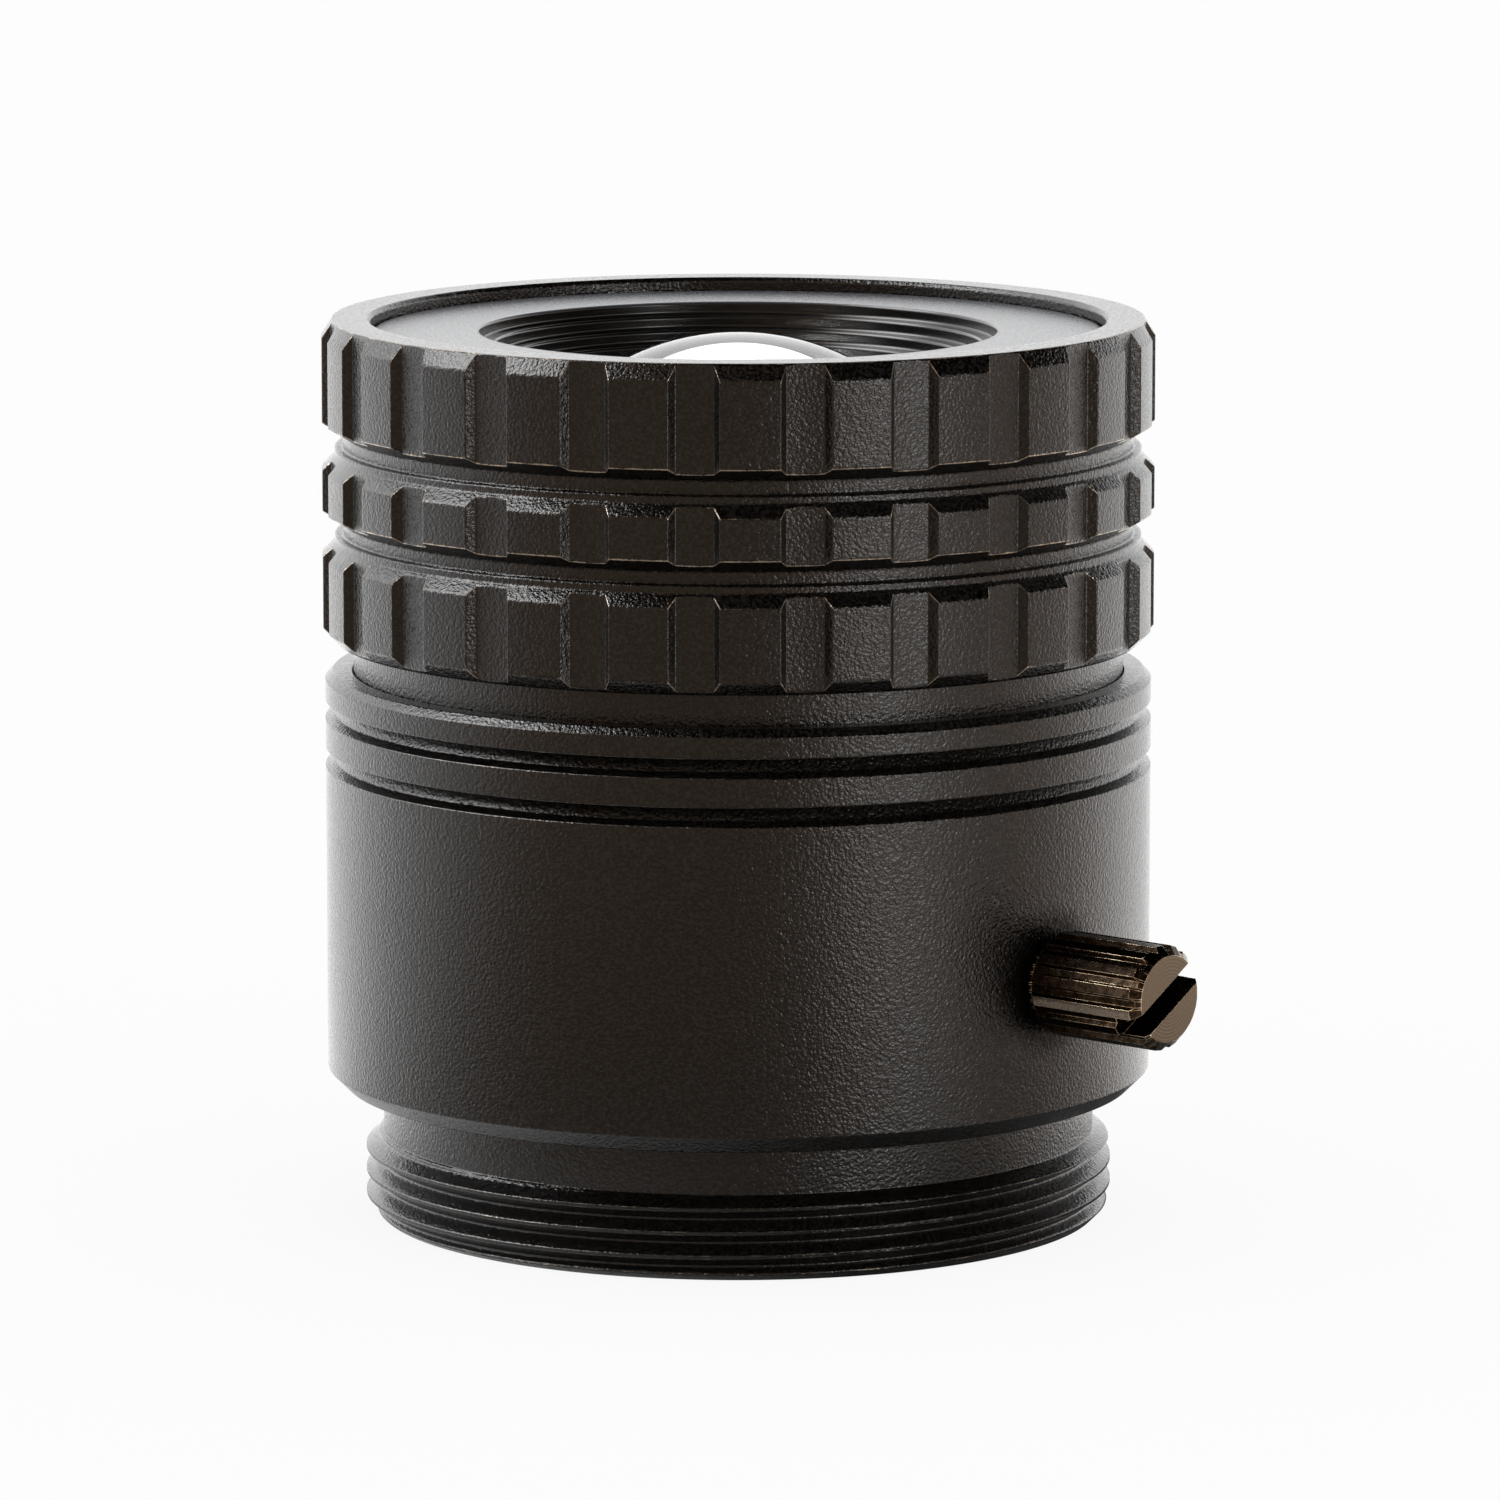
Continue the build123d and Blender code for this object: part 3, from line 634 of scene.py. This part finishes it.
# Name ring: a thin turned aluminium ring, satin black anodised, screwed into the carrier. Its mouth is a
# stepped trap of sharp treads that kills stray light.
name_face = 30.10
name_radius = 12.30
name_under = 29.30
name_spigot = 11.38
name_bottom = 28.00
mouth_radius = 8.75
step_count = 5
step_tread = 0.56
step_rise = 0.42
name_guard = 0.11
face_start = 0.03004
face_end = 0.03009
face_sheen_grey = (0.085, 0.090, 0.104, 1)
face_rougher = 0.08
name_corners = [(name_spigot, name_bottom), (name_spigot, name_under)]
name_corners += [(name_radius, name_under), (name_radius, name_face)]
for step in range(step_count):
    radius = mouth_radius - step_tread * step
    name_corners.append((radius, name_face - step_rise * step))
    name_corners.append((radius, name_face - step_rise * (step + 1)))


def whole_ring(name, corners, guard):
    """A ring turned from a closed half section, given as its corners."""
    rows = edged(np.array(corners)[:, None, :], guard)
    rows = np.concatenate([rows, rows[:1]])
    return joined_mesh(name, [(turned(rows, np.linspace(0, 2 * pi, 257)), None)])


finish, sockets = anodised(
    "front_black",
    (0.0035, 0.0033, 0.0032, 1),
    (0.0055, 0.0052, 0.0050, 1),
    roughness=0.20,
    dimple=2.0e-6,
    worn_from=2.3,
    turning=1.5,
)
# The flat face is painted a pale blue-grey, a painted sheen that stands in for the pale reflection it shows
# at a low angle, and it is a little rougher
height = finish.node("ShaderNodeSeparateXYZ", None, [finish.place()], output="Z")
on_face = finish.fade(height, face_start, face_end)
sockets["Base Color"] = finish.blend(on_face, sockets["Base Color"], face_sheen_grey)
sockets["Roughness"] = sockets["Roughness"] + on_face * face_rougher
front_black = finish.surface(sockets)
name_ring = whole_ring("name_ring_stepped", name_corners, name_guard)
placed(name_ring, "lens_unit", "front_black", front_black, "name_ring")

# Front retaining ring: a thin black ring screwed into the cell, whose inner edge bears on the dome.
keeper_inner = 6.20
keeper_outer = 7.10
keeper_bottom = 27.497
keeper_top = 27.907
keeper_guard = 0.03
finish, sockets = anodised(
    "inner_black",
    (0.0020, 0.0019, 0.0018, 1),
    (0.0030, 0.0028, 0.0026, 1),
    roughness=0.34,
    dimple=3e-6,
    worn_from=2.3,
    turning=0.8,
)
inner_black = finish.surface(sockets)
keeper_corners = [(keeper_inner, keeper_bottom), (keeper_outer, keeper_bottom)]
keeper_corners += [(keeper_outer, keeper_top), (keeper_inner, keeper_top)]
keeper = whole_ring("front_keeper", keeper_corners, keeper_guard)
placed(keeper, "lens_unit", "inner_black", inner_black, "front_retaining_ring")

# Glass: ground and polished elements with thin coatings, loaded into the cell from both ends. The front one
# is a strong dome, hollow behind; two of the others are cemented to each other. Each row of the list has the
# radius, the heights of the front and rear edge, and the curve and clear radius in front and behind.
glass_list = (
    ("front_element", 6.50, 27.182, 26.00, 8.905, 6.50, -5.598, 4.50),
    ("second_element", 5.00, 24.60, 21.80, -14.993, 4.20, -7.001, 4.20),
    ("third_element", 5.00, 20.60, 18.60, 9.000, 4.20, 11.999, 4.20),
    ("doublet_front", 4.50, 16.00, 14.20, 13.986, 3.70, 6.201, 4.50),
    ("doublet_rear", 4.50, 14.20, 11.20, -6.201, 4.50, 20.007, 3.90),
    ("sixth_element", 4.50, 7.40, 5.20, 10.998, 3.90, 15.990, 3.90),
    ("rear_element", 4.50, 4.40, 2.80, -18.018, 3.90, 9.516, 3.90),
)
seen_square = (0.97, 0.99, 0.98, 1)
seen_slanting = (0.93, 0.96, 1.0, 1)
refractive_index = 1.62


def polished(curve, clear, edge_height, outward):
    """Radius and height of a ground surface from its middle out to where its flat rim starts.

    The height is the edge's plus what a sphere of radius curve has fallen between the two radii; a negative
    curve is hollow.
    """
    radius = clear * np.sin(np.linspace(0, 1, 25) * pi / 2)
    fall = np.sqrt(curve**2 - radius**2) - sqrt(curve**2 - clear**2)
    return np.stack([radius, edge_height + outward * np.sign(curve) * fall], axis=-1)


def ground_lens(name, radius, front, rear, front_curve, front_clear, rear_curve, rear_clear):
    """A lens turned from its two polished surfaces and the ground edge between them."""
    face = polished(front_curve, front_clear, front, 1)
    back = polished(rear_curve, rear_clear, rear, -1)[::-1]
    edge = [(radius, front), (radius, front - edge_guard), (radius, rear + edge_guard), (radius, rear)]
    rows = np.concatenate([face, edge, back])[:, None, :]
    return joined_mesh(name, [(turned(rows, np.linspace(0, 2 * pi, 129)), None)])


coated = Finish(bpy.data.materials.new("coated_glass"))
slant = coated.node("ShaderNodeLayerWeight", None, {"Blend": 0.35}, output="Facing")
glass = coated.surface(
    {
        "Base Color": coated.blend(slant, seen_square, seen_slanting),
        "Roughness": 0.0,
        "IOR": refractive_index,
        "Transmission Weight": 1.0,
    }
)
for name, *sizes in glass_list:
    placed(ground_lens(name + "_polished", *sizes), "lens_unit", "glass", glass, name)

# Lock screw: turned from brass with a ribbed head and a driver slot, blackened, and worn bright at the ribs.
# It goes through the housing's wall and presses the nylon pad on the skirt.
screw_start = 14.32
tip_radius = 0.35
tip_end = -1.63
shank_radius = 1.00
shank_end = -1.31
collar_radius = 1.45
collar_end = -0.20
head_length = 4.70
head_radius = 1.75
head_small = 1.44
rib_count = 15
rib_root = 1.59
rib_corners = np.array([-0.22, 0.22, 0.34, 0.66])
slot_width = 0.82
slot_depth = 1.05
slot_reach = 3.0
slot_turn = 31.0
edge_inset = 1.5e-5
screw_out = Vector(lock_side)
screw_level = Vector((-sin(radians(lock_angle)), cos(radians(lock_angle)), 0))
screw_frame = np.array([screw_level, (0, 0, 1), screw_out])
screw_origin = np.array(screw_out) * screw_start + [0, 0, lock_height]

rib_angles = ((np.arange(rib_count)[:, None] + rib_corners) * 2 * pi / rib_count).ravel()
rib_radius = np.tile([head_radius, head_radius, rib_root, rib_root], rib_count)
rib_angles = np.append(rib_angles, rib_angles[0] + 2 * pi)
rib_radius = np.append(rib_radius, rib_radius[0])


def screw_row(radius, along):
    """A row of the screw at this distance along its axis."""
    return np.stack([radius + 0 * rib_radius, along + 0 * rib_radius], axis=-1)


screw_rows = np.stack(
    [
        screw_row(0, tip_end),
        screw_row(tip_radius, tip_end),
        screw_row(tip_radius, shank_end),
        screw_row(shank_radius, shank_end),
        screw_row(shank_radius, collar_end),
        screw_row(collar_radius, collar_end),
        screw_row(collar_radius, 0),
        screw_row(head_small, 0),
        screw_row(rib_radius, rib_radius - head_small),
        screw_row(rib_radius, head_length - rib_radius + head_small),
        screw_row(head_small, head_length),
        screw_row(0, head_length),
    ]
)
blank = joined_mesh("lock_screw_blackened", [(turned(screw_rows, rib_angles), None)])

# The slot is cut a thousand times larger, because the cutting is coarse at the screw's own size
half = (slot_reach, slot_width / 2, slot_depth)
corner_signs = np.array([(x, y, z) for x in (-1, 1) for y in (-1, 1) for z in (-1, 1)], float)
turn_slot = Matrix.Rotation(radians(slot_turn), 3, "Z")
cutter_points = corner_signs * half @ np.array(turn_slot).T + [0, 0, head_length]
cutter_faces = [(0, 1, 3, 2), (4, 6, 7, 5), (0, 4, 5, 1), (2, 3, 7, 6), (0, 2, 6, 4), (1, 5, 7, 3)]
cutter_mesh = bpy.data.meshes.new("slot_cutter")
cutter_mesh.from_pydata(cutter_points * 0.001, [], cutter_faces)
work = bmesh.new()
work.from_mesh(cutter_mesh)
bmesh.ops.recalc_face_normals(work, faces=work.faces)
work.to_mesh(cutter_mesh)
work.free()
cutter = bpy.data.objects.new("slot_cutter", cutter_mesh)
uncut = bpy.data.objects.new("uncut_screw", blank)
for made in (cutter, uncut):
    made.scale = (1000, 1000, 1000)
    bpy.context.scene.collection.objects.link(made)
cut = uncut.modifiers.new("slot", "BOOLEAN")
cut.operation = "DIFFERENCE"
cut.solver = "EXACT"
cut.object = cutter
bpy.context.view_layer.update()
screw = bpy.data.meshes.new_from_object(uncut.evaluated_get(bpy.context.evaluated_depsgraph_get()))
screw.name = "lock_screw_blackened"
bpy.data.objects.remove(cutter)
bpy.data.objects.remove(uncut)

# Every face gets a narrow border of its own, which keeps the flats flat and rolls the edges over
work = bmesh.new()
work.from_mesh(screw)
bmesh.ops.remove_doubles(work, verts=work.verts, dist=2e-6)
bmesh.ops.dissolve_limit(work, angle_limit=radians(0.3), verts=work.verts, edges=work.edges)
bmesh.ops.inset_individual(work, faces=work.faces, thickness=edge_inset, use_even_offset=True)
work.to_mesh(screw)
work.free()
screw_points = read(screw.vertices, "co", 3) @ screw_frame + screw_origin * 0.001
screw.vertices.foreach_set("co", screw_points.astype(np.float32).ravel())
screw.update()

# The finish is patchy black over brass, with turned rings on the head's end and a painted highlight on its
# side: the lands that face forwards and to the left, a little down, are paler, duller brown
lit_land_angle = -18.0
lit_land_start = 0.001704
lit_land_end = 0.001730
head_end = screw_start - barrel + head_length
rings_per_metre = 52000
thin_black = (0.075, 0.054, 0.037, 1)
thick_black = (0.022, 0.014, 0.009, 1)
end_brown = (0.21, 0.175, 0.135, 1)
highlight_brown = (0.36, 0.29, 0.22, 1)
bare_brass = (0.85, 0.70, 0.50, 1)
brass = Finish(bpy.data.materials.new("blackened_brass"))
place = brass.place()
patchy = brass.grain(place, 3600, 4.0, 0.65)
scratches = brass.grain(brass.stretched(place, (1.0, 1.0, 4.0)), 9000, 3.0, 0.7)
from_mouth, along, from_axis = brass.about(lock_mouth, lock_side)
end_face = brass.fade(along, (head_end - 0.03) * 0.001, (head_end - 0.01) * 0.001)
rings = brass.math("SINE", from_axis * rings_per_metre) * 0.5 + 0.5
# Painted highlight: the lands that face this way are paler, duller and less metallic brown
lit_land_side = tuple(screw_level * -cos(radians(lit_land_angle)) + Vector((0, 0, sin(radians(lit_land_angle)))))
to_lit_land = brass.vectors("DOT_PRODUCT", from_mouth, lit_land_side)
land_highlight = brass.fade(to_lit_land, lit_land_start, lit_land_end) * brass.fade(scratches, 0.35, 0.60, 0.45, 1.0)
bare = brass.fade(brass.edge() * 0.60 + patchy, 0.78, 0.92)
colour = brass.blend(brass.fade(patchy, 0.40, 0.62), thick_black, thin_black)
colour = brass.blend(end_face * (0.75 + rings * 0.25), colour, end_brown)
colour = brass.blend(land_highlight, colour, highlight_brown)
blackened_brass = brass.surface(
    {
        "Base Color": brass.blend(bare, colour, bare_brass),
        "Roughness": brass.fade(scratches, 0.3, 0.7, 0.18, 0.32) + land_highlight * 0.12,
        "Metallic": 1 - land_highlight * 0.4,
        "Normal": brass.relief(scratches * 0.7 + rings * end_face * 0.3, 6e-6),
    }
)
placed(screw, "lock_screw", "blackened_brass", blackened_brass, "lock_screw")

# What stays as the solids have it: ground steel pins, the sliding carrier with its keeper ring, the cell with
# its spacers, the slip washer and the nylon pad.
steel = Finish(bpy.data.materials.new("ground_steel"))
streaks = steel.grain(steel.stretched(steel.place(), (0.3, 0.3, 1.0)), 16000, 3.0, 0.6)
pin_steel = steel.surface(
    {
        "Base Color": steel.blend(streaks, (0.50, 0.50, 0.51, 1), (0.66, 0.66, 0.67, 1)),
        "Metallic": 1.0,
        "Roughness": steel.fade(streaks, 0.3, 0.7, 0.22, 0.36),
        "Normal": steel.relief(streaks, 1e-6),
    }
)
soft = Finish(bpy.data.materials.new("natural_nylon"))
cloud = soft.grain(soft.place(), 1800, 3.0)
nylon = soft.surface(
    {
        "Base Color": soft.blend(cloud, (0.80, 0.77, 0.70, 1), (0.88, 0.86, 0.80, 1)),
        "Roughness": soft.fade(cloud, 0.3, 0.7, 0.42, 0.55),
        "Normal": soft.relief(cloud, 4e-6),
    }
)
slot_finish = {
    "housing_black": housing_black,
    "ring_black": ring_black,
    "front_black": front_black,
    "inner_black": inner_black,
    "glass": glass,
    "blackened_brass": blackened_brass,
    "pin_steel": pin_steel,
    "nylon": nylon,
}
for part in frame["record"]["subparts"]:
    solid = cad[part["node"]]
    solid.data.materials.clear()
    solid.data.materials.append(slot_finish[part["material_slot"]])

# Table, light and camera: a white sweep lit from its sides and back and dark behind the camera and overhead,
# a lamp at the right, and high on the left a softbox. Polished faces see the sweep and the softbox as they
# lie round the lens, and flat colours see one plain level.
white_light = (1, 1, 1, 1)
studio_peak = 2.2
warm = (1.0, 0.72, 0.52)
studio_round = (
    (-180, 1.7, 0.0),
    (-150, 1.8, 0.0),
    (-125, 2.1, 0.0),
    (-98, 1.4, 0.0),
    (-74, 0.9, 0.3),
    (-58, 0.5, 1.0),
    (-25, 0.42, 1.0),
    (14, 0.4, 1.0),
    (30, 0.85, 0.6),
    (40, 1.6, 0.3),
    (54, 1.15, 0.3),
    (66, 0.7, 0.7),
    (80, 0.7, 0.7),
    (95, 0.95, 0.5),
    (125, 2.0, 0.1),
    (150, 1.6, 0.0),
    (180, 1.7, 0.0),
)


def studio_stop(azimuth, level, warmth):
    """A stop of the ramp that runs once round the studio, from behind the lens by the left and the front."""
    share = level / studio_peak
    return azimuth / 360 + 0.5, (*(share * (1 - warmth * (1 - part)) for part in warm), 1)


def sweep(finish, direction):
    """What a reflection finds in this direction: the colour round the studio, and how far aside it looks.

    The azimuth is the arc tangent of the direction's reach to the right over its reach towards the camera.
    How far aside is the sine of that angle.
    """
    right = finish.node("ShaderNodeSeparateXYZ", None, [direction], output="X")
    azimuth = finish.math("ARCTAN2", right, right.beside("Y") * -1.0)
    stops = [studio_stop(*stop) for stop in studio_round]
    colour = finish.node("ShaderNodeValToRGB", {"stops": stops}, [azimuth * (0.5 / pi) + 0.5])
    return colour, finish.math("SINE", azimuth)


table_half = 0.6
table_drop = -0.00002
table_signs = ((-1, -1), (1, -1), (1, 1), (-1, 1))
table_corners = [(x * table_half, y * table_half, table_drop) for x, y in table_signs]
table_mesh = bpy.data.meshes.new("table")
table_mesh.from_pydata(table_corners, [], [(0, 1, 2, 3)])
table = bpy.data.objects.new("table", table_mesh)
bpy.context.scene.collection.objects.link(table)

# In reflections the table is as bright as the sweep far out, with a painted shadow of the lens: darker in
# front of the lens and close to it, and close to it darker to the right than to the left
white = Finish(bpy.data.materials.new("table_white"))
table_place = white.place()
paper = white.node("ShaderNodeBsdfDiffuse", None, {"Color": (0.9, 0.9, 0.9, 1)})
from_lens = white.vectors("LENGTH", table_place)
near = white.fade(from_lens, 0.033, 0.056, 1.0, 0.0)
contact_shadow = white.fade(from_lens, 0.019, 0.027, 1.0, 0.0)
around, aside = sweep(white, table_place)
further_back = white.node("ShaderNodeSeparateXYZ", None, [table_place], output="Y")
in_front = white.fade(further_back, -0.010, 0.0, 1.0, 0.0)
distant = studio_peak * (1 - near * in_front * 0.55)
painted_shadow_level = white.fade(aside, -0.8, 0.3, 0.9, 0.07)
mirrored = distant * (1 - contact_shadow) + painted_shadow_level * contact_shadow
camera_ray = white.node("ShaderNodeLightPath", output="Is Camera Ray")
glossy_ray = camera_ray.beside("Is Glossy Ray")
glass_ray = camera_ray.beside("Is Transmission Ray")
strength = glossy_ray * mirrored + (1 - glossy_ray)
tone = white.blend(glossy_ray, white_light, white.blend(contact_shadow, around, white_light))
lit = white.node("ShaderNodeEmission", None, {"Color": tone, "Strength": strength})
seen = camera_ray * 0.90 + glossy_ray * 0.95 + glass_ray * 0.9
table_shader = white.node("ShaderNodeMixShader", None, [seen, paper, lit])
white.node("ShaderNodeOutputMaterial", None, {"Surface": table_shader})
white.holder.cycles.emission_sampling = "NONE"
table_mesh.materials.append(white.holder)

# The world is the sweep's wall up to a soft upper edge, and the softbox
softbox = (-0.743, 0.026, 0.669)
softbox_level = 9.0
wall_fade = 0.10
plain_level = 0.9
world = bpy.data.worlds.new("studio")
world.cycles.sampling_method = "NONE"
bpy.context.scene.world = world
studio = Finish(world)
way = studio.node("ShaderNodeTexCoord", output="Generated")
up = studio.node("ShaderNodeSeparateXYZ", None, [way], output="Z")
around, aside = sweep(studio, way)
wall_top = studio.fade(aside, -0.1, 0.5, 0.76, 0.30)
wall = studio.fade(up, wall_top, wall_top + wall_fade, 1.0, 0.0)
in_softbox = studio.fade(studio.vectors("DOT_PRODUCT", way, softbox), 0.90, 0.975)
mirrored = wall * studio_peak * (1 - in_softbox) + in_softbox * softbox_level
glossy_ray = studio.node("ShaderNodeLightPath", output="Is Glossy Ray")
diffuse_ray = glossy_ray.beside("Is Diffuse Ray")
level = glossy_ray * mirrored + diffuse_ray * plain_level
level = level + (1 - glossy_ray) * (1 - diffuse_ray)
tone = studio.blend(glossy_ray, white_light, studio.blend(in_softbox, around, white_light))
sky = studio.node("ShaderNodeBackground", None, {"Color": tone, "Strength": level})
studio.node("ShaderNodeOutputWorld", None, {"Surface": sky})

lamp_target = Vector((0, 0, 0.015))
window_light = bpy.data.lights.new("window", "AREA")
window_light.shape = "RECTANGLE"
window_light.size = 0.10
window_light.size_y = 0.16
window_light.energy = 0.25
window_lamp = bpy.data.objects.new("window", window_light)
window_lamp.location = (0.275, -0.325, 0.06)
window_lamp.rotation_mode = "QUATERNION"
window_lamp.rotation_quaternion = (window_lamp.location - lamp_target).to_track_quat("Z", "Y")
bpy.context.scene.collection.objects.link(window_lamp)

camera_down = 8.988
camera_data = bpy.data.cameras.new("camera")
camera_data.lens = 226.05
camera_data.sensor_width = 36.0
camera_data.clip_start = 0.01
camera_data.clip_end = 10.0
camera = bpy.data.objects.new("camera", camera_data)
camera.location = (0.00040, -0.3161, 0.06575)
camera.rotation_euler = (radians(90 - camera_down), 0, 0)
bpy.context.scene.collection.objects.link(camera)
bpy.context.scene.camera = camera
bpy.context.scene.view_settings.view_transform = "Standard"
